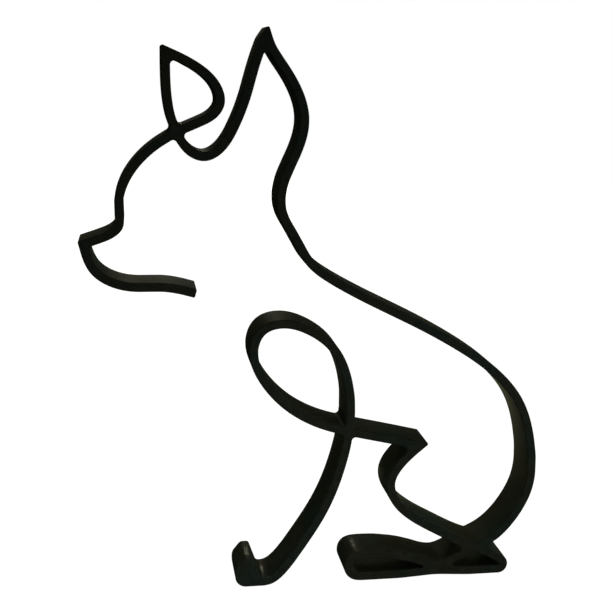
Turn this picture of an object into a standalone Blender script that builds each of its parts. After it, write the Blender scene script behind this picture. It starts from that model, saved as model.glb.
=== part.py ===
"""Line sculpture of a sitting dog: one flat ribbon that draws the dog's outline in a single stroke.

The dog sits side on and faces -X. The ribbon's narrow edges face -Y and +Y, and its broad sides
follow the drawing. It stands on the paw of its front leg and on its long hind foot. The origin is
at the middle of the object's box, on the floor. Metres, +Z up.
"""

from math import atan2, ceil, cos, pi, radians, sin, tan

import bmesh
import bpy
import numpy as np
from mathutils import Vector
from mathutils.geometry import delaunay_2d_cdt

# Driving dimensions
HEIGHT = 0.190  # floor to the tip of the tall ear
THICKNESS = 0.003  # of the ribbon, as its narrow edge shows it
DEPTH = 0.017  # of the ribbon, from the front edge to the back edge
CORNER_RADIUS = 0.0006  # on the outer corners: nose, ear tips, knee and the end of the jaw
CROSSING_FILLET = 0.0013  # in the inner corners, where the stroke meets or crosses itself
EDGE_CHAMFER = 0.0003  # along both narrow edges

# The hind foot: how far it lifts off the floor between its toe and its heel, and the tight bend
# that turns it back up into the thigh
SOLE_ARCH = 0.0007
HEEL_INNER_RADIUS = 0.0004
HEEL_TURN = radians(149)

# How finely curves are cut into flats
MOST_TURN = radians(8)
LONGEST_FLAT = 0.005
FINEST_FLAT = 0.00006
SHARP = radians(24)

# The drawing. Its points are millimetres on a dog 190 mm high: x from the tip of the nose, z from
# the floor, both to the middle of a ribbon whose middle is 1.5 mm off the floor where it rests.
DRAWN_HEIGHT = 190.0
DRAWN_REST = 1.5

JAW = [(38, 103.8), (28, 106.1), (17, 106.5), (10, 108.5), (5, 112.4), (2.8, 117), (1.8, 120.9)]
FACE = [
    (1.8, 120.9), (7, 122.6), (11.6, 124.7), (13.4, 126.7), (13.7, 129), (13.6, 134), (17.3, 144),
    (24, 151.2), (32.6, 156.6), (40, 159.8), (44.4, 162.2), (46.7, 165.6), (46.2, 169.9),
    (40.8, 176.3), (29.6, 182.3),
]
EARS = [
    (29.6, 182.3), (29.6, 172), (30.8, 162), (34, 154), (37.2, 150.3), (41.5, 148.8), (46, 150.8),
    (51, 157.8), (55, 167.3), (58.2, 178), (60.3, 184), (61.1, 185.9), (62.1, 187.4),
]
BACK = [
    (62.1, 187.4), (63.4, 183.8), (65.5, 180.3), (71, 171.6), (74.2, 160), (71.2, 148.8),
    (67, 138.6), (66.8, 130.4), (71, 122), (76, 113.4), (84, 107), (96, 100.2), (112, 92),
    (128, 82.8), (140, 74), (149, 63.4), (154.2, 46), (153.9, 32), (148.8, 21.3), (141, 13.2),
    (131, 8.1), (122.5, 4.6), (113, 6.9), (104, 8.8), (95, 9.3), (90.4, 8), (89.5, 4.8),
    (91.2, 2.2), (95, DRAWN_REST),
]
SOLE_FLATS = (BACK[-1][0], 107, 134, 143.5)
HAUNCH = [
    (139, 8.3), (131, 11.8), (122.5, 16.3), (111, 23.4),
    (105.8, 29.2), (104.4, 35.5), (107, 41), (114.7, 48.4),
]
CHEST = [
    (114.7, 48.4), (104, 51), (92, 53.8), (80, 57.3), (69.5, 63.2), (60.6, 72.8), (57, 84),
    (60, 90.5), (67, 92.7), (76, 90.1), (84, 83.7), (89, 72.2), (89.9, 58), (87.2, 43.5),
    (80.5, 26.2), (71.5, 12.1), (65.6, 4.6), (62, 2), (58.4, DRAWN_REST),
]
PAW_END = 55.5

# The corners of the block that is the paw's upturned toe, each with the radius that rounds it. Here
# z is the height over the floor on that dog.
PAW_TOE = [
    ((49.9, 0), 3.7),
    ((PAW_END, 0), 0),
    ((58.8, 2), 0),
    ((55.8, 10.3), 1),
    ((52.9, 10.3), 2),
    ((49.8, 6.6), 4),
]

FINISH_COLOUR = (0.011, 0.0105, 0.0095, 1)
FINISH_ROUGHNESS = 0.42
FINISH_METALLIC = 0.0


def place(point):
    """A point of the drawing in metres, with the ribbon's underside on the floor where it rests."""
    scale = HEIGHT / DRAWN_HEIGHT
    x, z = point
    return Vector((x * scale, THICKNESS / 2 + (z - DRAWN_REST) * scale))


def curve_through(points, start=None, end=None):
    """(points, headings) close together on the cubic curve of least bend through the given points.

    start and end are the curve's headings there; without one, that end is left free.
    """
    knots = np.array([tuple(point) for point in points])
    spans = np.linalg.norm(np.diff(knots, axis=0), axis=1)
    last = len(knots) - 1
    system = np.zeros((last + 1, last + 1))
    wanted = np.zeros((last + 1, 2))
    for i in range(1, last):
        before, after = spans[i - 1], spans[i]
        system[i, i - 1 : i + 2] = after, 2 * (before + after), before
        slopes = (knots[i] - knots[i - 1]) * after / before + (knots[i + 1] - knots[i]) * before / after
        wanted[i] = 3 * slopes
    for row, inner, span, heading in ((0, 1, spans[0], start), (last, last - 1, spans[-1], end)):
        system[row, row] = 1 if heading else 2
        if heading:
            wanted[row] = heading
        else:
            system[row, inner] = 1
            wanted[row] = 3 * (knots[max(row, 1)] - knots[max(row, 1) - 1]) / span
    tangents = np.linalg.solve(system, wanted)
    path, headings = [], []
    for i, span in enumerate(spans):
        steps = ceil(span / (LONGEST_FLAT / 20))
        shares = np.arange(steps + (i == last - 1)) / steps
        for s in shares:
            here = (
                knots[i] * (1 - s) ** 2 * (1 + 2 * s)
                + knots[i + 1] * s**2 * (3 - 2 * s)
                + tangents[i] * span * s * (1 - s) ** 2
                - tangents[i + 1] * span * s**2 * (1 - s)
            )
            rate = (
                (knots[i + 1] - knots[i]) / span * 6 * s * (1 - s)
                + tangents[i] * (1 - s) * (1 - 3 * s)
                + tangents[i + 1] * s * (3 * s - 2)
            )
            path.append(Vector(here))
            headings.append(Vector(rate).normalized())
    return path, headings


def sole():
    """(points, headings) of the hind foot's underside: flat, a low arch, flat."""
    toe, rise, fall, heel = (place((x, DRAWN_REST)) for x in SOLE_FLATS)
    length = fall.x - rise.x
    path = [toe]
    headings = [Vector((1, 0))]
    steps = ceil(length / LONGEST_FLAT) * 2
    for i in range(steps + 1):
        share = i / steps
        path.append(rise + Vector((share * length, SOLE_ARCH * (1 - cos(2 * pi * share)) / 2)))
        headings.append(Vector((length, SOLE_ARCH * pi * sin(2 * pi * share))).normalized())
    return path + [heel], headings + [Vector((1, 0))]


def heel_bend():
    """(points, headings) of the arc at the heel, which starts where the sole ends."""
    radius = THICKNESS / 2 + HEEL_INNER_RADIUS
    middle = place((SOLE_FLATS[-1], DRAWN_REST)) + Vector((0, radius))
    steps = ceil(HEEL_TURN / MOST_TURN)
    bends = [HEEL_TURN * i / steps for i in range(steps + 1)]
    path = [middle + Vector((sin(bend), -cos(bend))) * radius for bend in bends]
    return path, [Vector((cos(bend), sin(bend))) for bend in bends]


def thinned(path, headings):
    """The points that the curve needs: one for each small turn, and one for each long flat."""
    kept = [0]
    turn = 0.0
    for i in range(1, len(path) - 1):
        turn += abs(headings[i - 1].angle_signed(headings[i]))
        if turn > MOST_TURN or (path[i] - path[kept[-1]]).length > LONGEST_FLAT:
            kept.append(i)
            turn = 0.0
    kept.append(len(path) - 1)
    return [path[i] for i in kept], [headings[i] for i in kept]


def beside(point, heading):
    """The points on the ribbon's two sides, left and right of its middle."""
    aside = Vector((-heading.y, heading.x)) * THICKNESS / 2
    return point + aside, point - aside


def flats_of(path, headings):
    """One four-sided face for each flat of a stretch of ribbon."""
    left, right = zip(*map(beside, path, headings))
    return [[right[i], right[i + 1], left[i + 1], left[i]] for i in range(len(path) - 1)]


def pointed_corner(corner, arriving, leaving):
    """The kite that fills the outside of a corner where one stretch ends and the next starts."""
    turn = arriving.angle_signed(leaving)
    side = 0 if turn > 0 else 1
    first = beside(corner, arriving)[side]
    second = beside(corner, leaving)[side]
    middle = ((first + second) / 2 - corner).normalized()
    tip = corner + middle * THICKNESS / 2 / cos(turn / 2)
    kite = [corner, first, tip, second]
    return kite if side else kite[::-1]


def arc_at(before, corner, after, radius):
    """Points of the arc that rounds a corner between two straight sides."""
    arriving = (corner - before).normalized()
    leaving = (after - corner).normalized()
    turn = atan2(arriving.x * leaving.y - arriving.y * leaving.x, arriving.dot(leaving))
    start = corner - arriving * radius * tan(abs(turn) / 2)
    steps = ceil(abs(turn) / (1.5 * MOST_TURN))
    points = [start]
    for i in range(1, steps + 1):
        chord = 2 * radius * sin(abs(turn) / steps / 2)
        bend = turn * (i - 0.5) / steps
        heading = Vector(
            (
                arriving.x * cos(bend) - arriving.y * sin(bend),
                arriving.x * sin(bend) + arriving.y * cos(bend),
            )
        )
        points.append(points[-1] + heading * chord)
    return points


def paw_toe():
    """The upturned toe that ends the front leg: a low block with a rounded front and brow."""
    scale = HEIGHT / DRAWN_HEIGHT
    corners = [Vector(point) * scale for point, _ in PAW_TOE]
    outline = []
    for i, (_, radius) in enumerate(PAW_TOE):
        if radius:
            outline += arc_at(corners[i - 1], corners[i], corners[(i + 1) % len(corners)], radius * scale)
        else:
            outline.append(corners[i])
    return outline


def covers(face, point):
    """Whether a face whose corners run anticlockwise, with no hollow corner, has the point in it."""
    return all((b - a).cross(point - a) >= 0 for a, b in zip(face, face[1:] + face[:1]))


def fused(faces):
    """The closed outlines of all the faces together, with material on their left."""
    points = [point for face in faces for point in face]
    starts = np.cumsum([0] + [len(face) for face in faces])
    rings = [list(range(starts[i], starts[i + 1])) for i in range(len(faces))]
    flat, _, triangles, *_ = delaunay_2d_cdt(points, [], rings, 1, 1e-8)
    edges = set()
    for triangle in triangles:
        middle = middle_of([flat[i] for i in triangle])
        if any(covers(face, middle) for face in faces):
            edges.update(zip(triangle, triangle[1:] + triangle[:1]))
    after = {a: b for a, b in edges if (b, a) not in edges}
    loops = []
    while after:
        start, here = after.popitem()
        loop = [start]
        while here != start:
            loop.append(here)
            here = after.pop(here)
        loops.append(spaced([flat[i] for i in loop]))
    return loops


def spaced(loop):
    """The loop without the points that lie almost on the one before."""
    kept = []
    for point in loop:
        if not kept or (point - kept[-1]).length > FINEST_FLAT:
            kept.append(point)
    while (kept[0] - kept[-1]).length <= FINEST_FLAT:
        kept.pop()
    return kept


def turn_at(loop, i):
    before = loop[i] - loop[i - 1]
    after = loop[(i + 1) % len(loop)] - loop[i]
    return atan2(before.x * after.y - before.y * after.x, before.dot(after))


def walk(loop, i, step, reach):
    """(point, how many corners were passed) at a distance along the loop from its corner i."""
    passed = 0
    while True:
        here, there = loop[(i + step * passed) % len(loop)], loop[(i + step * (passed + 1)) % len(loop)]
        length = (there - here).length
        if reach <= length:
            return here + (there - here) * (reach / length), passed
        reach -= length
        passed += 1


def rounded(loop):
    """The loop with an arc at each sharp corner, small on the outer ones and larger on the inner."""
    turns = [turn_at(loop, i) for i in range(len(loop))]
    dropped = set()
    arcs = {}
    for i, turn in enumerate(turns):
        if abs(turn) < SHARP:
            continue
        radius = CORNER_RADIUS if turn > 0 else CROSSING_FILLET
        reach = min(radius * tan(abs(turn) / 2), THICKNESS * 0.9)
        start, passed = walk(loop, i, -1, reach)
        dropped.update((i - k) % len(loop) for k in range(passed + 1))
        end, passed = walk(loop, i, 1, reach)
        dropped.update((i + k) % len(loop) for k in range(passed + 1))
        arcs[i] = bent(start, loop[i], end, abs(turn))
    result = []
    for i, point in enumerate(loop):
        if i in arcs:
            result += arcs[i]
        elif i not in dropped:
            result.append(point)
    return spaced(result)


def bent(start, corner, end, turn):
    """An arc from start to end that leaves and arrives along the sides of the corner between them."""
    steps = max(2, ceil(turn / (2 * MOST_TURN)))
    handle = 4 / 3 * tan(turn / 4) / tan(turn / 2)
    first = start.lerp(corner, handle)
    second = end.lerp(corner, handle)
    points = []
    for i in range(steps + 1):
        s = i / steps
        points.append(
            start * (1 - s) ** 3 + first * 3 * s * (1 - s) ** 2 + second * 3 * s**2 * (1 - s) + end * s**3
        )
    return points


def drawn_stretches():
    """(points, headings) of each stretch of the stroke, from the end of the jaw to the paw."""
    along, back = (1.0, 0.0), (-1.0, 0.0)
    yield curve_through(map(place, JAW))
    yield curve_through(map(place, FACE))
    yield curve_through(map(place, EARS))
    yield curve_through(map(place, BACK), end=along)
    yield sole()
    path, headings = heel_bend()
    yield path, headings
    yield curve_through([path[-1], *map(place, HAUNCH)], start=tuple(headings[-1]))
    yield curve_through(map(place, CHEST), end=back)
    paw = [place(CHEST[-1]), place((PAW_END, DRAWN_REST))]
    yield paw, [Vector(back), Vector(back)]


def outlines():
    """The closed outlines of the whole drawing, with the object's box centred on x = 0."""
    faces = [paw_toe()]
    arrived = None
    for path, headings in drawn_stretches():
        path, headings = thinned(path, headings)
        if arrived and arrived.angle(headings[0]) > SHARP:
            faces.append(pointed_corner(path[0], arrived, headings[0]))
        faces += flats_of(path, headings)
        arrived = headings[-1]
    loops = [rounded(loop) for loop in fused(faces)]
    xs = [point.x for loop in loops for point in loop]
    middle = Vector(((min(xs) + max(xs)) / 2, 0))
    return [[point - middle for point in loop] for loop in loops]


def inset(loop, distance):
    """The loop moved into the material by the same distance all along."""
    moved = []
    for i, point in enumerate(loop):
        before = (point - loop[i - 1]).normalized()
        after = (loop[(i + 1) % len(loop)] - point).normalized()
        heading = (before + after).normalized()
        inward = Vector((-heading.y, heading.x))
        moved.append(point + inward * distance / cos(turn_at(loop, i) / 2))
    return moved


def within(loops, point):
    """Whether the point is inside the outlines and not in a hole of theirs."""
    inside = False
    for loop in loops:
        for a, b in zip(loop, loop[1:] + loop[:1]):
            if (a.y > point.y) != (b.y > point.y):
                crossing = a.x + (b.x - a.x) * (point.y - a.y) / (b.y - a.y)
                inside ^= point.x < crossing
    return inside


def middle_of(points):
    return sum(points, Vector((0, 0))) / len(points)


def cap_triangles(loops):
    """Triangles that fill the outlines but not the holes in them, as places in the loops' points."""
    points = [point for loop in loops for point in loop]
    edges = []
    for loop in loops:
        first = len(edges)
        edges += [(first + i, first + (i + 1) % len(loop)) for i in range(len(loop))]
    _, _, triangles, sources, *_ = delaunay_2d_cdt(points, edges, [], 1, 1e-8)
    triangles = [[sources[i][0] for i in triangle] for triangle in triangles]
    return [corners for corners in triangles if within(loops, middle_of([points[i] for i in corners]))]


def ribbon_mesh():
    """The drawing given its depth, with a chamfer along both narrow edges."""
    loops = outlines()
    levels = [
        (-DEPTH / 2, EDGE_CHAMFER),
        (-DEPTH / 2 + EDGE_CHAMFER, 0),
        (DEPTH / 2 - EDGE_CHAMFER, 0),
        (DEPTH / 2, EDGE_CHAMFER),
    ]
    built = bmesh.new()
    rings = []
    for y, distance in levels:
        lines = [inset(loop, distance) for loop in loops]
        rings.append([built.verts.new((point.x, y, point.y)) for line in lines for point in line])
    first = 0
    for loop in loops:
        for near, far in zip(rings, rings[1:]):
            for i in range(len(loop)):
                here, there = first + i, first + (i + 1) % len(loop)
                built.faces.new((near[here], far[here], far[there], near[there]))
        first += len(loop)
    for corners in cap_triangles([inset(loop, EDGE_CHAMFER) for loop in loops]):
        built.faces.new([rings[0][i] for i in corners])
        built.faces.new([rings[-1][i] for i in corners[::-1]])
    bmesh.ops.recalc_face_normals(built, faces=built.faces)
    mesh = bpy.data.meshes.new("dog_outline")
    built.to_mesh(mesh)
    built.free()
    mesh.shade_smooth()
    mesh.set_sharp_from_angle(angle=SHARP)
    return mesh


def satin_black():
    material = bpy.data.materials.new("satin_black")
    material.use_nodes = True
    shader = material.node_tree.nodes["Principled BSDF"]
    shader.inputs["Base Color"].default_value = FINISH_COLOUR
    shader.inputs["Roughness"].default_value = FINISH_ROUGHNESS
    shader.inputs["Metallic"].default_value = FINISH_METALLIC
    return material


def main():
    for old in list(bpy.data.objects):
        bpy.data.objects.remove(old)
    dog = bpy.data.objects.new("dog_outline", ribbon_mesh())
    dog.data.materials.append(satin_black())
    bpy.context.scene.collection.objects.link(dog)


main()
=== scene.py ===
"""Visual model of a geometric dog sculpture: one satin black ribbon that draws a sitting dog.

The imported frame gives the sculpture's outline. A Geometry Nodes tree turns that outline into the
ribbon, with softly rounded rims round both faces, and a procedural finish gives it the look of
satin black moulded plastic. A pale studio stage, soft lights and the photograph's camera stand
round it.
"""

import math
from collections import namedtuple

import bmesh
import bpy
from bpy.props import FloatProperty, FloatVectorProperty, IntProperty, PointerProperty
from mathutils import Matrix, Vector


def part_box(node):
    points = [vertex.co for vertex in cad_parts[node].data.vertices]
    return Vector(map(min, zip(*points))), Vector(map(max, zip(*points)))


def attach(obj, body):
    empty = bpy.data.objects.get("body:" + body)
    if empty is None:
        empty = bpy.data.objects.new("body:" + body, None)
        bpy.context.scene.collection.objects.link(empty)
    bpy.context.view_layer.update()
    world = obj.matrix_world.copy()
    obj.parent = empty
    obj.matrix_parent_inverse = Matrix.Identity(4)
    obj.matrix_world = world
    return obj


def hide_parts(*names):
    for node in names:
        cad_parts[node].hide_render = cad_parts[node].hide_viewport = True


bl_info = {
    "name": "Geometric Dog Sculpture",
    "version": (1, 0, 0),
    "blender": (4, 5, 0),
    "location": "View3D > Sidebar > Dog Sculpture",
    "description": "Builds a satin black dog drawn by one flat ribbon, and its studio stage",
    "category": "Object",
}

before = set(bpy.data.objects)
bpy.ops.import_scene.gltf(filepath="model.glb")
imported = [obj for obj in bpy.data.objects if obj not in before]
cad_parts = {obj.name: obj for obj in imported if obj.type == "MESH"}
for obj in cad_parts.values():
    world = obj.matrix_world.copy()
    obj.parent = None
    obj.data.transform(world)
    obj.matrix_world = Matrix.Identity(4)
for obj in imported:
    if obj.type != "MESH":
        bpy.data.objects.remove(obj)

NODE = "dog_outline"
BODY = "root"
LOW_CORNER, HIGH_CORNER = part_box(NODE)


# Node trees

class Socket:
    """One output of a node, which Python's operators join to others through math nodes."""

    def __init__(self, tree, output):
        self.tree = tree
        self.output = output

    def also(self, name):
        """Another output of the same node."""
        return Socket(self.tree, self.tree.find(self.output.node.outputs, name))

    def _is_vector(self):
        return self.output.type in {"VECTOR", "RGBA"}

    def _join(self, operation, first, second):
        vectors = any(isinstance(v, Socket) and v._is_vector() for v in (first, second))
        if not vectors:
            return self.tree.math(operation, first, second)
        pair = [(v,) * 3 if isinstance(v, (int, float)) else v for v in (first, second)]
        return self.tree.vector_math(operation, *pair)

    def __add__(self, other):
        return self._join("ADD", self, other)

    def __radd__(self, other):
        return self._join("ADD", other, self)

    def __sub__(self, other):
        return self._join("SUBTRACT", self, other)

    def __rsub__(self, other):
        return self._join("SUBTRACT", other, self)

    def __mul__(self, other):
        return self._join("MULTIPLY", self, other)

    def __rmul__(self, other):
        return self._join("MULTIPLY", other, self)


class Tree:
    """A node tree that is written as Python expressions."""

    def __init__(self, tree):
        self.tree = tree

    @staticmethod
    def find(sockets, key):
        """A socket by its number, its identifier or its name."""
        if isinstance(key, int):
            return sockets[key]
        named = [s for s in sockets if s.identifier == key] or [s for s in sockets if s.name == key]
        if not named:
            raise KeyError(f"no socket {key!r} among {[s.name for s in sockets]}")
        return named[0]

    def node(self, kind, settings=None, sockets=None, output=0):
        """Adds a node: its settings first, then the value or links of each socket.

        The setting "stops" lists the (place, colour) pairs of a ramp's two ends. It returns one
        of the node's outputs, or the node itself where it has none.
        """
        node = self.tree.nodes.new(kind)
        for name, value in (settings or {}).items():
            if name == "stops":
                for element, (place, colour) in zip(node.color_ramp.elements, value):
                    element.position = place
                    element.color = (*colour, 1.0)
            else:
                setattr(node, name, value)
        for key, value in (sockets or {}).items():
            self.feed(self.find(node.inputs, key), value)
        return Socket(self, self.find(node.outputs, output)) if node.outputs else node

    def feed(self, socket, value):
        """Gives a socket its links or its constant."""
        for one in value if isinstance(value, list) else [value]:
            if isinstance(one, Socket):
                self.tree.links.new(one.output, socket)
            else:
                socket.default_value = one

    def math(self, operation, *values):
        return self.node("ShaderNodeMath", {"operation": operation}, dict(enumerate(values)))

    def vector_math(self, operation, *values, output=0):
        sockets = dict(enumerate(values))
        return self.node("ShaderNodeVectorMath", {"operation": operation}, sockets, output)

    def share(self, value, low, high, way="LINEAR"):
        """How far a value lies from low to high, from 0 to 1."""
        sockets = {"Value": value, "From Min": low, "From Max": high}
        return self.node("ShaderNodeMapRange", {"interpolation_type": way}, sockets, "Result")

    def noise(self, spot, scale, detail, roughness):
        sockets = {"Vector": spot, "Scale": scale, "Detail": detail, "Roughness": roughness}
        return self.node("ShaderNodeTexNoise", None, sockets)


# Outline

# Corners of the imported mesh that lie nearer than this, in metres, are one corner.
SAME_CORNER = 1e-7
# Rows of corners are told apart by their depth: in decimals of a metre, and in metres.
DEPTH_DECIMALS = 6
SAME_DEPTH = 1e-6
# A run beside one this many times shorter keeps its own direction where they meet.
STRAIGHT_RATIO = 3.0
# Runs longer than this, in metres, need their outermost points level or upright.
LONG_RUN = 0.001
# Two runs whose moves along an axis multiply to no more than this turn back there.
TURNS_BACK = 1e-14
# A knot's handle is the way to the next knot divided by this.
HANDLE_PARTS = 3


def outline_loops(node):
    """The closed loops of the ribbon's full outline, flat, with the solid on their left.

    The full outline is the solid's second row of corners from the front, behind its chamfer.
    """
    mesh = bmesh.new()
    mesh.from_mesh(node.data)
    bmesh.ops.remove_doubles(mesh, verts=mesh.verts, dist=SAME_CORNER)
    level = sorted({round(v.co.y, DEPTH_DECIMALS) for v in mesh.verts})[1]
    rim = [e for e in mesh.edges if all(abs(v.co.y - level) < SAME_DEPTH for v in e.verts)]
    beside = {}
    for edge in rim:
        for one, other in (edge.verts, reversed(edge.verts)):
            beside.setdefault(one, []).append(other)
    loops = []
    left = sorted(beside, key=lambda v: v.index)
    while left:
        loop = [left[0]]
        while True:
            ahead = [v for v in beside[loop[-1]] if len(loop) < 2 or v is not loop[-2]]
            if ahead[0] is loop[0]:
                break
            loop.append(ahead[0])
        taken = set(loop)
        left = [v for v in left if v not in taken]
        loops.append([Vector((v.co.x, v.co.z)) for v in loop])
    mesh.free()
    outer = max(loops, key=lambda loop: abs(loop_area(loop)))
    return [loop if (loop_area(loop) > 0) == (loop is outer) else loop[::-1] for loop in loops]


def loop_area(loop):
    """The area inside a loop of points, above 0 where it runs anticlockwise."""
    return sum(a.x * b.y - b.x * a.y for a, b in zip(loop, loop[1:] + loop[:1])) / 2


def tangent(before, here, after):
    """The curve's direction at a point.

    A straight run keeps its own direction where a tight bend meets it. On long runs the highest,
    lowest and outermost points lie level or upright, so that the curve doesn't pass them.
    """
    back, ahead = here - before, after - here
    if back.length > STRAIGHT_RATIO * ahead.length:
        way = back.copy()
    elif ahead.length > STRAIGHT_RATIO * back.length:
        way = ahead.copy()
    else:
        way = back.normalized() * ahead.length + ahead.normalized() * back.length
    for axis in (0, 1):
        if max(back.length, ahead.length) > LONG_RUN and back[axis] * ahead[axis] <= TURNS_BACK:
            way[axis] = 0.0
    return way.normalized()


def outline_curve(name, loops):
    """A curve object that holds the loops as smooth closed splines, flat in its own plane."""
    curve = bpy.data.curves.new(name, "CURVE")
    curve.dimensions = "3D"
    for loop in loops:
        spline = curve.splines.new("BEZIER")
        spline.bezier_points.add(len(loop) - 1)
        spline.use_cyclic_u = True
        for number, point in enumerate(loop):
            before, after = loop[number - 1], loop[(number + 1) % len(loop)]
            way = tangent(before, point, after)
            knot = spline.bezier_points[number]
            knot.handle_left_type = knot.handle_right_type = "FREE"
            knot.co = (*point, 0.0)
            knot.handle_left = (*(point - way * (point - before).length / HANDLE_PARTS), 0.0)
            knot.handle_right = (*(point + way * (after - point).length / HANDLE_PARTS), 0.0)
    thing = bpy.data.objects.new(name, curve)
    bpy.context.scene.collection.objects.link(thing)
    return thing


# Ribbon

# Each input of the ribbon's tree: its name, its kind, and the setting that feeds it.
RIBBON_INPUTS = [
    ("Depth", "NodeSocketFloat", "depth"),
    ("Edge Radius", "NodeSocketFloat", "edge_radius"),
    ("Edge Segments", "NodeSocketInt", "edge_segments"),
    ("Face Margin", "NodeSocketFloat", "face_margin"),
    ("Curve Steps", "NodeSocketInt", "curve_steps"),
    ("Low Corner", "NodeSocketVector", "low_corner"),
    ("High Corner", "NodeSocketVector", "high_corner"),
    ("Finish", "NodeSocketMaterial", None),
]

# The attribute that is 1 in the middle of a rounded rim and 0 off it; the finish paints shade on
# the rims with it.
RIM_ATTRIBUTE = "edge"
UPWARDS = (0.0, 0.0, 1.0)
# The wall's section has two corners at its inset ends and two that get rounded.
SECTION_CORNERS = 4
# Points of the wall and the faces that lie nearer than this, in metres, are joined.
JOIN_DISTANCE = 1e-6


def ribbon_tree():
    """The tree that turns a flat outline into the ribbon, a rounded wall closed by two faces."""
    group = bpy.data.node_groups.new("ribbon_from_outline", "GeometryNodeTree")
    group.interface.new_socket("Outline", in_out="INPUT", socket_type="NodeSocketGeometry")
    for label, kind, _ in RIBBON_INPUTS:
        group.interface.new_socket(label, in_out="INPUT", socket_type=kind)
    group.interface.new_socket("Ribbon", in_out="OUTPUT", socket_type="NodeSocketGeometry")
    tree = Tree(group)
    outline = tree.node("NodeGroupInput", output="Outline")
    radius = outline.also("Edge Radius")
    inset = radius + outline.also("Face Margin")

    rail = rail_of(tree, outline)
    section = section_of(tree, outline, inset)
    wall = tree.node(
        "GeometryNodeCurveToMesh",
        None,
        {"Curve": rail, "Profile Curve": section, "Fill Caps": False},
    )
    wall = tree.node("GeometryNodeFlipFaces", None, {"Mesh": wall})
    faces = faces_of(tree, outline, rail, inset)

    joined = tree.node("GeometryNodeJoinGeometry", None, {"Geometry": [wall, *faces]})
    closed = tree.node(
        "GeometryNodeMergeByDistance", None, {"Geometry": joined, "Distance": JOIN_DISTANCE}
    )
    smooth = tree.node(
        "GeometryNodeSetShadeSmooth", None, {"Geometry": closed, "Shade Smooth": True}
    )
    upright = tree.node(
        "GeometryNodeTransform", None, {"Geometry": smooth, "Rotation": (math.pi / 2, 0.0, 0.0)}
    )
    real = tree.node("GeometryNodeRealizeInstances", None, {"Geometry": upright})
    done = tree.node(
        "GeometryNodeSetMaterial", None, {"Geometry": real, "Material": outline.also("Finish")}
    )
    tree.node("NodeGroupOutput", None, {"Ribbon": done})
    return group


def rail_of(tree, outline):
    """The outline with the asked number of steps between its knots, kept inside its box."""
    fine = tree.node(
        "GeometryNodeSetSplineResolution",
        None,
        {"Geometry": outline, "Resolution": outline.also("Curve Steps")},
    )
    rail = tree.node("GeometryNodeResampleCurve", {"mode": "EVALUATED"}, {"Curve": fine})
    spot = tree.node("GeometryNodeInputPosition")
    spot = tree.vector_math("MAXIMUM", spot, outline.also("Low Corner"))
    spot = tree.vector_math("MINIMUM", spot, outline.also("High Corner"))
    rail = tree.node("GeometryNodeSetPosition", None, {"Geometry": rail, "Position": spot})
    return tree.node(
        "GeometryNodeSetCurveNormal", {"mode": "FREE"}, {"Curve": rail, "Normal": UPWARDS}
    )


def section_of(tree, outline, inset):
    """The wall's section: from one inset end to the other, with both corners rounded."""
    radius = outline.also("Edge Radius")
    section = tree.node("GeometryNodeCurvePrimitiveLine", {"mode": "POINTS"}, {"End": UPWARDS})
    section = tree.node(
        "GeometryNodeResampleCurve",
        {"mode": "COUNT"},
        {"Curve": section, "Count": SECTION_CORNERS},
    )
    # Counted from the middle, the rounded corners are half a step off and the ends one more.
    place = tree.node("GeometryNodeInputIndex") - (SECTION_CORNERS - 1) / 2
    side = tree.math("SIGN", place)
    inner = 0.5 - tree.math("ABSOLUTE", place)
    corner = tree.node(
        "ShaderNodeCombineXYZ",
        None,
        {"X": side * outline.also("Depth") * 0.5, "Y": inset * inner},
    )
    section = tree.node(
        "GeometryNodeSetPosition", None, {"Geometry": section, "Position": corner}
    )
    section = tree.node(
        "GeometryNodeFilletCurve",
        {"mode": "POLY"},
        {
            "Curve": section,
            "Count": outline.also("Edge Segments"),
            "Radius": radius,
            "Limit Radius": True,
        },
    )
    across = tree.node(
        "ShaderNodeSeparateXYZ", None, {0: tree.node("GeometryNodeInputPosition")}, "Y"
    )
    # part * (1 - part) is a quarter at most.
    part = tree.share(across * -1.0, 0.0, radius)
    return tree.node(
        "GeometryNodeStoreNamedAttribute",
        {"data_type": "FLOAT", "domain": "POINT"},
        {"Geometry": section, "Name": RIM_ATTRIBUTE, "Value": part * (1 - part) * 4},
    )


def faces_of(tree, outline, rail, inset):
    """The two flat faces, filled inside the rounded rims."""
    tangents = tree.node("GeometryNodeInputTangent")
    inwards = tree.vector_math("CROSS_PRODUCT", UPWARDS, tangents)
    offset = tree.node(
        "ShaderNodeVectorMath", {"operation": "SCALE"}, {0: inwards, "Scale": inset}
    )
    faces = []
    for sign in (1, -1):
        rim = tree.node("GeometryNodeSetPosition", None, {"Geometry": rail, "Offset": offset})
        flat = tree.node("GeometryNodeFillCurve", {"mode": "TRIANGLES"}, {"Curve": rim})
        level = tree.node("ShaderNodeCombineXYZ", None, {"Z": outline.also("Depth") * (0.5 * sign)})
        flat = tree.node("GeometryNodeSetPosition", None, {"Geometry": flat, "Offset": level})
        faces.append(flat if sign > 0 else tree.node("GeometryNodeFlipFaces", None, {"Mesh": flat}))
    return faces


def made_plain(thing, name):
    """A plain mesh object of what the thing's modifier makes, in place of the thing."""
    graph = bpy.context.evaluated_depsgraph_get()
    mesh = bpy.data.meshes.new_from_object(thing.evaluated_get(graph), depsgraph=graph)
    mesh.name = name
    for number in reversed(range(len(mesh.materials))):
        if mesh.materials[number] is None:
            mesh.materials.pop(index=number)
    drawing = thing.data
    bpy.data.objects.remove(thing)
    bpy.data.curves.remove(drawing)
    piece = bpy.data.objects.new(name, mesh)
    bpy.context.scene.collection.objects.link(piece)
    return piece


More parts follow.
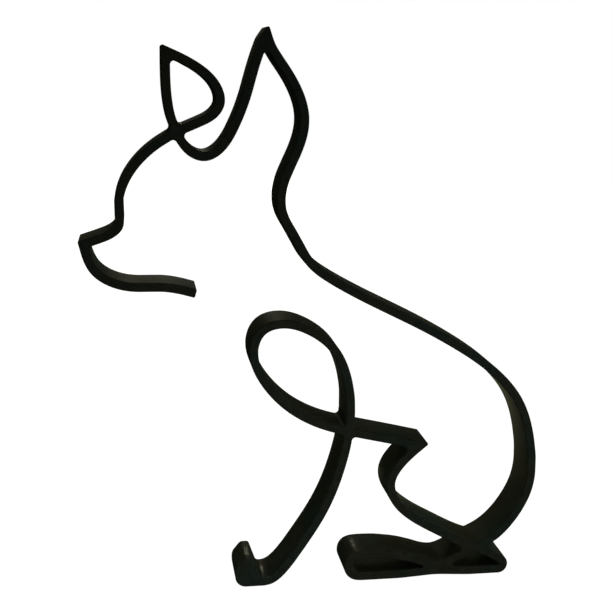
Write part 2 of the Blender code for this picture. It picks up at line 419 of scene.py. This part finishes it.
def check_closed(piece):
    """Stops the script if the piece has an open edge or is inside out."""
    mesh = bmesh.new()
    mesh.from_mesh(piece.data)
    loose = [e for e in mesh.edges if len(e.link_faces) != 2]
    volume = mesh.calc_volume(signed=True)
    mesh.free()
    if loose or volume <= 0:
        raise RuntimeError(f"{piece.name} has {len(loose)} open edges and volume {volume:.3g} m3")


# Finish

# Where handling has polished the surface, in metres: the hind toe and the front paw.
POLISHED = [(0.0140, -0.0040, 0.0125), (-0.0190, 0.0, 0.0030)]

# Noise runs from 0 to 1 about this mean.
MEAN = 0.5
# The patches of hue and the clouds of the mottle: patches to a metre, detail and roughness.
BROAD_NOISE = (60.0, 3.0, 0.55)
CLOUD_NOISE = (420.0, 3.0, 0.6)
# The grain's detail and roughness, after its own size.
GRAIN_NOISE = (2.0, 0.5)
# The part of the patches' range that turns from the cool tone to the warm one.
COOL_END, WARM_END = 0.38, 0.62
# How much the clouds and the patches change the roughness over their full range.
CLOUD_ROUGHNESS, BROAD_ROUGHNESS = 0.10, 0.08
# The part of the clouds' range over which the glaze goes from its least share to its most.
THIN_END, THICK_END = 0.40, 0.60
LEAST_GLAZE, GLAZE_RANGE = 0.3, 1.4
# The clouds' height in the grain, where a dimple's is 1.
CLOUD_HEIGHT = 0.8


def polish(tree, spot, settings):
    """How much each place is polished: all of it round the polished spots, little elsewhere."""
    most, reach = settings.least_polish, settings.polish_reach
    for place in POLISHED:
        away = tree.vector_math("DISTANCE", spot, place, output="Value")
        near = tree.share(away, reach, reach / 2, "SMOOTHSTEP")
        most = tree.math("MAXIMUM", most, near)
    return most


def painted_rim_shade(tree, spot, settings):
    """How much of its colour each place keeps: painted shade makes it less on the rims, and least
    on the rear ones.
    """
    front, back = LOW_CORNER[1], HIGH_CORNER[1]
    edge = tree.node("ShaderNodeAttribute", {"attribute_name": RIM_ATTRIBUTE}, output="Fac")
    depth = tree.node("ShaderNodeSeparateXYZ", None, {0: spot}, "Y")
    rear = tree.share(depth, front, back)
    # Painted shade: a band along the rear rims that darkens the colour towards them.
    band = tree.share(depth, back - settings.rear_painted_shade_band, back, "SMOOTHSTEP")
    rim = edge * (settings.front_rim_painted_shade + rear * (settings.rear_rim_painted_shade - settings.front_rim_painted_shade))
    return 1 - tree.math("MAXIMUM", rim, band * settings.rear_rim_painted_shade)


def satin_finish(settings):
    """Satin black moulded plastic.

    It has faint warm and cool patches, a fine mottled grain, painted shade on its rims and polished
    spots.
    """
    material = bpy.data.materials.new("satin_black_plastic")
    material.use_nodes = True
    material.node_tree.nodes.clear()
    tree = Tree(material.node_tree)
    spot = tree.node("ShaderNodeTexCoord", output="Object")
    broad = tree.noise(spot, *BROAD_NOISE)
    cloud = tree.noise(spot, *CLOUD_NOISE)
    grain = tree.noise(spot, 1.0 / settings.grain_size, *GRAIN_NOISE)

    stops = [(COOL_END, settings.cool_colour), (WARM_END, settings.warm_colour)]
    hue = tree.node("ShaderNodeValToRGB", {"stops": stops}, {"Fac": broad})
    mottle = 1 + (cloud - MEAN) * (2 * settings.mottle)
    # The colour carries painted shade on the rims, darkest on the rear ones.
    colour = hue * (painted_rim_shade(tree, spot, settings) * mottle)

    rough = settings.roughness + (cloud - MEAN) * CLOUD_ROUGHNESS + (broad - MEAN) * BROAD_ROUGHNESS
    glaze = LEAST_GLAZE + tree.share(cloud, THIN_END, THICK_END) * GLAZE_RANGE
    bump = tree.node(
        "ShaderNodeBump",
        None,
        {
            "Strength": 1.0,
            "Distance": settings.grain_depth,
            "Height": grain + cloud * CLOUD_HEIGHT,
        },
    )
    shader = tree.node(
        "ShaderNodeBsdfPrincipled",
        None,
        {
            "Base Color": colour,
            "Roughness": rough,
            "Specular IOR Level": settings.specular,
            "Coat Weight": polish(tree, spot, settings) * glaze * settings.glaze,
            "Coat Roughness": settings.glaze_roughness,
            "Normal": bump,
        },
    )
    tree.node("ShaderNodeOutputMaterial", None, {"Surface": shader})
    return material


# Stage

WHITE = (1.0, 1.0, 1.0, 1.0)
# Faces of the backdrop: up its bend, and round it.
BEND_STEPS = 16
TURN_STEPS = 96
# The paper's unevenness: patches to a metre, detail and roughness, where in their range it
# turns, and the share of its colour that the dimmest paper keeps.
PAPER_NOISE = (9.0, 2.0, 0.5)
DIM_END, FULL_END = 0.3, 0.7
DIM_SHARE = 0.985
PAPER_ROUGHNESS = 0.9
PAPER_GLOSS = 0.1


def backdrop_mesh(name, settings):
    """A seamless sweep all round: a flat floor that curves up into a far wall."""
    half, bend, wall = settings.floor_size / 2, settings.sweep_radius, settings.wall_height
    section = [Vector((half - bend, 0.0))]
    for step in range(1, BEND_STEPS + 1):
        rise = math.pi / 2 * step / BEND_STEPS
        reach = half - bend + bend * math.sin(rise)
        section.append(Vector((reach, bend - bend * math.cos(rise))))
    section.append(Vector((half, wall)))
    turns = [2 * math.pi * step / TURN_STEPS for step in range(TURN_STEPS)]
    mesh = bmesh.new()
    rings = [
        [mesh.verts.new((p.x * math.cos(turn), p.x * math.sin(turn), p.y)) for turn in turns]
        for p in section
    ]
    mesh.faces.new(rings[0])
    for low, high in zip(rings, rings[1:]):
        for i in range(TURN_STEPS):
            j = (i + 1) % TURN_STEPS
            mesh.faces.new((low[i], high[i], high[j], low[j])).smooth = True
    bmesh.ops.recalc_face_normals(mesh, faces=mesh.faces)
    data = bpy.data.meshes.new(name)
    mesh.to_mesh(data)
    mesh.free()
    return data


def pale_finish(settings):
    """Paper of the floor and backdrop, lit from behind, with a barely visible unevenness."""
    material = bpy.data.materials.new("pale_studio_paper")
    material.use_nodes = True
    material.node_tree.nodes.clear()
    tree = Tree(material.node_tree)
    spot = tree.node("ShaderNodeTexCoord", output="Object")
    patch = tree.noise(spot, *PAPER_NOISE)
    paper = settings.floor_colour
    stops = [(DIM_END, [c * DIM_SHARE for c in paper]), (FULL_END, paper)]
    shader = tree.node(
        "ShaderNodeBsdfPrincipled",
        None,
        {
            "Base Color": tree.node("ShaderNodeValToRGB", {"stops": stops}, {"Fac": patch}),
            "Roughness": PAPER_ROUGHNESS,
            "Specular IOR Level": PAPER_GLOSS,
            "Emission Color": WHITE,
            "Emission Strength": settings.floor_glow,
        },
    )
    tree.node("ShaderNodeOutputMaterial", None, {"Surface": shader})
    return material


def studio_air(settings):
    """A world that gives a little even light from all round."""
    world = bpy.data.worlds.new("studio_air")
    world.use_nodes = True
    world.node_tree.nodes.clear()
    tree = Tree(world.node_tree)
    sockets = {"Color": WHITE, "Strength": settings.air_glow}
    glow = tree.node("ShaderNodeBackground", None, sockets)
    tree.node("ShaderNodeOutputWorld", None, {"Surface": glow})
    return world


# A light's size is its width and height, and all its lengths are in metres. It shows in the matt
# part of a surface, in its gloss, or in both.
Light = namedtuple("Light", "name place target size watts colour shows_in")

LIGHTS = [
    Light(
        name="ceiling_light",
        place=(0.0, 0.0, 1.2),
        target=(0.0, 0.0, 0.1),
        size=(0.8, 0.8),
        watts=6.8,
        colour=(1.0, 0.92, 0.72),
        shows_in="BOTH",
    ),
    Light(
        name="rear_window",
        place=(0.051, 1.466, 0.688),
        target=(0.02, 0.0, 0.05),
        size=(0.16, 0.22),
        watts=2.0,
        colour=(1.0, 0.95, 0.72),
        shows_in="BOTH",
    ),
    Light(
        name="rear_right_card",
        place=(0.510, 1.402, 0.237),
        target=(0.02, 0.0, 0.05),
        size=(0.6, 0.25),
        watts=27.0,
        colour=(0.95, 1.0, 0.76),
        shows_in="MATT",
    ),
    Light(
        name="rear_left_card",
        place=(-0.630, 1.352, 0.237),
        target=(0.02, 0.0, 0.05),
        size=(0.7, 0.25),
        watts=8.5,
        colour=(1.0, 0.97, 0.66),
        shows_in="MATT",
    ),
    Light(
        name="rear_floor_card",
        place=(0.05, 0.16, 0.001),
        target=(0.05, 0.16, 1.0),
        size=(0.12, 0.12),
        watts=0.055,
        colour=(1.0, 0.97, 0.55),
        shows_in="BOTH",
    ),
    Light(
        name="front_low_card",
        place=(0.14, -0.22, 0.012),
        target=(0.05, 0.0, 0.04),
        size=(0.2, 0.02),
        watts=0.105,
        colour=(0.90, 1.0, 0.98),
        shows_in="BOTH",
    ),
    Light(
        name="paw_card",
        place=(-0.05, -0.13, 0.012),
        target=(-0.02, 0.0, 0.02),
        size=(0.1, 0.02),
        watts=0.064,
        colour=(1.0, 1.0, 0.95),
        shows_in="BOTH",
    ),
    Light(
        name="right_low_card",
        place=(0.38, -0.05, 0.03),
        target=(0.0, 0.0, 0.06),
        size=(0.3, 0.08),
        watts=1.36,
        colour=(0.98, 0.98, 1.0),
        shows_in="BOTH",
    ),
    Light(
        name="front_window",
        place=(-0.25, -1.45, 0.70),
        target=(0.0, 0.0, 0.08),
        size=(0.4, 0.3),
        watts=6.0,
        colour=(1.0, 0.96, 0.85),
        shows_in="GLOSS",
    ),
    Light(
        name="front_floor_card",
        place=(0.0, -0.16, 0.001),
        target=(0.0, -0.16, 1.0),
        size=(0.14, 0.12),
        watts=0.06,
        colour=(1.0, 0.97, 0.75),
        shows_in="GLOSS",
    ),
    Light(
        name="left_window",
        place=(-1.3, -0.2, 0.6),
        target=(0.0, 0.0, 0.08),
        size=(0.5, 0.5),
        watts=6.0,
        colour=(1.0, 0.98, 0.92),
        shows_in="GLOSS",
    ),
]


def soft_light(light):
    """A soft rectangular light that faces its target, and that the camera doesn't see."""
    lamp = bpy.data.lights.new(light.name, "AREA")
    lamp.shape = "RECTANGLE"
    lamp.size, lamp.size_y = light.size
    lamp.energy = light.watts
    lamp.color = light.colour
    thing = bpy.data.objects.new(light.name, lamp)
    thing.location = light.place
    facing = Vector(light.target) - Vector(light.place)
    thing.rotation_mode = "QUATERNION"
    thing.rotation_quaternion = facing.to_track_quat("-Z", "Y")
    thing.visible_camera = False
    thing.visible_diffuse = light.shows_in != "GLOSS"
    thing.visible_glossy = light.shows_in != "MATT"
    bpy.context.scene.collection.objects.link(thing)


# The photograph's camera. Its place, in metres, is measured from the sculpture's nose, front and
# floor. FOCAL_PIXELS and PICTURE_SHIFT are in pixels of a picture that is IMAGE_SIZE wide and high.
IMAGE_SIZE = 612
FOCAL_PIXELS = 1253.7
CAMERA_PLACE = Vector((0.019065, -0.407234, 0.17928))
CAMERA_LOOK = Vector((0.13288498, 0.97223438, -0.19261849))
PICTURE_SHIFT = (1.0, 0.5)
# Its sensor's width in millimetres, and the nearest and farthest that it sees in metres.
SENSOR_WIDTH = 36.0
NEAREST, FARTHEST = 0.01, 50.0


def photo_camera():
    """The photograph's camera."""
    lens = bpy.data.cameras.new("photo_camera")
    lens.sensor_fit = "HORIZONTAL"
    lens.sensor_width = SENSOR_WIDTH
    lens.lens = SENSOR_WIDTH * FOCAL_PIXELS / IMAGE_SIZE
    lens.shift_x = -PICTURE_SHIFT[0] / IMAGE_SIZE
    lens.shift_y = PICTURE_SHIFT[1] / IMAGE_SIZE
    lens.clip_start = NEAREST
    lens.clip_end = FARTHEST
    camera = bpy.data.objects.new("photo_camera", lens)
    camera.location = Vector(LOW_CORNER) + CAMERA_PLACE
    camera.rotation_mode = "QUATERNION"
    camera.rotation_quaternion = CAMERA_LOOK.to_track_quat("-Z", "Y")
    bpy.context.scene.collection.objects.link(camera)
    return camera


# Settings

class DogRibbonSettings(bpy.types.PropertyGroup):
    """Sizes of the ribbon's visible surface."""

    depth: FloatProperty(
        name="Depth",
        description="Front to back width of the ribbon",
        default=HIGH_CORNER[1] - LOW_CORNER[1],
        min=0.001,
        unit="LENGTH",
        precision=5,
    )
    edge_radius: FloatProperty(
        name="Edge Radius",
        description="Radius of the rounding along both rims",
        default=0.00032,
        min=0.00005,
        unit="LENGTH",
        precision=5,
    )
    edge_segments: IntProperty(
        name="Edge Segments",
        description="Facets across each rounded rim",
        default=4,
        min=1,
        max=12,
    )
    face_margin: FloatProperty(
        name="Face Margin",
        description="Width of the narrow band that keeps each face flat up to its rounded rim",
        default=0.00008,
        min=0.00001,
        unit="LENGTH",
        precision=5,
    )
    curve_steps: IntProperty(
        name="Curve Steps",
        description="Steps between two knots of the outline",
        default=4,
        min=1,
        max=12,
    )
    low_corner: FloatVectorProperty(
        name="Low Corner",
        description="Lowest place of the outline, across and up",
        default=(LOW_CORNER[0], LOW_CORNER[2], 0.0),
        subtype="TRANSLATION",
    )
    high_corner: FloatVectorProperty(
        name="High Corner",
        description="Highest place of the outline, across and up",
        default=(HIGH_CORNER[0], HIGH_CORNER[2], 0.0),
        subtype="TRANSLATION",
    )


class DogFinishSettings(bpy.types.PropertyGroup):
    """The satin black finish."""

    cool_colour: FloatVectorProperty(
        name="Cool Black",
        description="Cooler tone of the black",
        default=(0.0100, 0.0150, 0.0112),
        subtype="COLOR",
    )
    warm_colour: FloatVectorProperty(
        name="Warm Black",
        description="Warmer tone of the black",
        default=(0.0144, 0.0146, 0.0098),
        subtype="COLOR",
    )
    # Painted shade: these three settings darken the colour on the front rims, the rear rims and a
    # band along the rear.
    front_rim_painted_shade: FloatProperty(
        name="Front Rim Shade",
        description="How much darker the front rims are",
        default=0.25,
        min=0.0,
        max=1.0,
        subtype="FACTOR",
    )
    rear_rim_painted_shade: FloatProperty(
        name="Rear Rim Shade",
        description="How much darker the rear rims are",
        default=0.80,
        min=0.0,
        max=1.0,
        subtype="FACTOR",
    )
    rear_painted_shade_band: FloatProperty(
        name="Rear Band",
        description="Width of the band along the rear rims that darkens towards them",
        default=0.0018,
        min=0.0001,
        unit="LENGTH",
        precision=4,
    )
    mottle: FloatProperty(
        name="Mottle",
        description="Strength of the small light and dark specks",
        default=0.5,
        min=0.0,
        max=1.0,
        subtype="FACTOR",
    )
    roughness: FloatProperty(
        name="Roughness",
        description="Mean roughness of the satin surface",
        default=0.60,
        min=0.05,
        max=1.0,
        subtype="FACTOR",
    )
    specular: FloatProperty(
        name="Gloss Level",
        description="Strength of the surface gloss",
        default=0.02,
        min=0.0,
        max=1.0,
        subtype="FACTOR",
    )
    glaze: FloatProperty(
        name="Glaze",
        description="Mean strength of the thin skin that gives small highlights",
        default=0.045,
        min=0.0,
        max=0.5,
        subtype="FACTOR",
    )
    glaze_roughness: FloatProperty(
        name="Glaze Roughness",
        description="Roughness of the thin skin",
        default=0.20,
        min=0.05,
        max=1.0,
        subtype="FACTOR",
    )
    least_polish: FloatProperty(
        name="Least Polish",
        description="Share of the glaze away from the polished spots",
        default=0.04,
        min=0.0,
        max=1.0,
        subtype="FACTOR",
    )
    polish_reach: FloatProperty(
        name="Polish Reach",
        description="Distance from a polished spot at which its polish ends",
        default=0.016,
        min=0.001,
        unit="LENGTH",
        precision=4,
    )
    grain_size: FloatProperty(
        name="Grain Size",
        description="Width of one dimple of the fine surface grain",
        default=0.00045,
        min=0.0001,
        unit="LENGTH",
        precision=5,
    )
    grain_depth: FloatProperty(
        name="Grain Depth",
        description="Height of the fine surface grain",
        default=0.00002,
        min=0.0,
        unit="LENGTH",
        precision=6,
    )


class DogStageSettings(bpy.types.PropertyGroup):
    """The studio's floor, backdrop and even light."""

    floor_size: FloatProperty(
        name="Floor Size",
        description="Width of the round floor and backdrop",
        default=7.0,
        min=1.0,
        unit="LENGTH",
    )
    sweep_radius: FloatProperty(
        name="Sweep Radius",
        description="Radius of the bend from floor to backdrop",
        default=1.5,
        min=0.1,
        unit="LENGTH",
    )
    wall_height: FloatProperty(
        name="Wall Height",
        description="Height of the backdrop",
        default=4.0,
        min=0.5,
        unit="LENGTH",
    )
    floor_colour: FloatVectorProperty(
        name="Floor Colour",
        description="Colour of the paper floor",
        default=(0.08, 0.08, 0.08),
        subtype="COLOR",
    )
    floor_glow: FloatProperty(
        name="Floor Glow",
        description="Light that the backlit paper gives by itself",
        default=1.0,
        min=0.0,
        max=2.0,
    )
    air_glow: FloatProperty(
        name="Air Glow",
        description="Even light from all round",
        default=0.004,
        min=0.0,
        max=2.0,
    )


# Operators and panel

class DOG_OT_add_ribbon(bpy.types.Operator):
    """Make the dog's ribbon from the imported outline"""

    bl_idname = "dog.add_ribbon"
    bl_label = "Add Dog Ribbon"

    def execute(self, context):
        settings = context.scene.dog_ribbon
        drawing = outline_curve("dog_drawing", outline_loops(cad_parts[NODE]))
        group = ribbon_tree()
        modifier = drawing.modifiers.new("Ribbon", "NODES")
        modifier.node_group = group
        finish = satin_finish(context.scene.dog_finish)
        codes = {item.name: item.identifier for item in group.interface.items_tree}
        for label, _, field in RIBBON_INPUTS:
            modifier[codes[label]] = getattr(settings, field) if field else finish
        piece = made_plain(drawing, "dog_ribbon")
        bpy.data.node_groups.remove(group)
        check_closed(piece)
        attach(piece, BODY)
        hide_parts(NODE)
        return {"FINISHED"}


class DOG_OT_add_stage(bpy.types.Operator):
    """Make the pale floor and backdrop, the soft lights and the photograph's camera"""

    bl_idname = "dog.add_stage"
    bl_label = "Add Studio Stage"

    def execute(self, context):
        scene, settings = context.scene, context.scene.dog_stage
        floor = bpy.data.objects.new("studio_floor", backdrop_mesh("studio_floor", settings))
        floor.data.materials.append(pale_finish(settings))
        scene.collection.objects.link(floor)
        floor.visible_glossy = False
        floor.visible_diffuse = False

        scene.world = studio_air(settings)
        for light in LIGHTS:
            soft_light(light)
        scene.camera = photo_camera()
        scene.view_settings.view_transform = "Standard"
        scene.view_settings.look = "None"
        return {"FINISHED"}


class DOG_PT_panel(bpy.types.Panel):
    """Lists the sculpture's settings and the buttons that build it"""

    bl_label = "Dog Sculpture"
    bl_idname = "DOG_PT_panel"
    bl_space_type = "VIEW_3D"
    bl_region_type = "UI"
    bl_category = "Dog Sculpture"

    def draw(self, context):
        scene = context.scene
        for operator, groups in (
            ("dog.add_ribbon", (scene.dog_ribbon, scene.dog_finish)),
            ("dog.add_stage", (scene.dog_stage,)),
        ):
            box = self.layout.box()
            for group in groups:
                for name in group.bl_rna.properties.keys():
                    if name not in {"rna_type", "name"}:
                        box.prop(group, name)
            box.operator(operator)


CLASSES = (
    DogRibbonSettings,
    DogFinishSettings,
    DogStageSettings,
    DOG_OT_add_ribbon,
    DOG_OT_add_stage,
    DOG_PT_panel,
)


def register():
    for cls in CLASSES:
        bpy.utils.register_class(cls)
    bpy.types.Scene.dog_ribbon = PointerProperty(type=DogRibbonSettings)
    bpy.types.Scene.dog_finish = PointerProperty(type=DogFinishSettings)
    bpy.types.Scene.dog_stage = PointerProperty(type=DogStageSettings)


def unregister():
    del bpy.types.Scene.dog_stage
    del bpy.types.Scene.dog_finish
    del bpy.types.Scene.dog_ribbon
    for cls in reversed(CLASSES):
        bpy.utils.unregister_class(cls)


def main():
    register()
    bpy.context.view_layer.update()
    bpy.ops.dog.add_ribbon()
    bpy.ops.dog.add_stage()


if __name__ == "__main__":
    main()
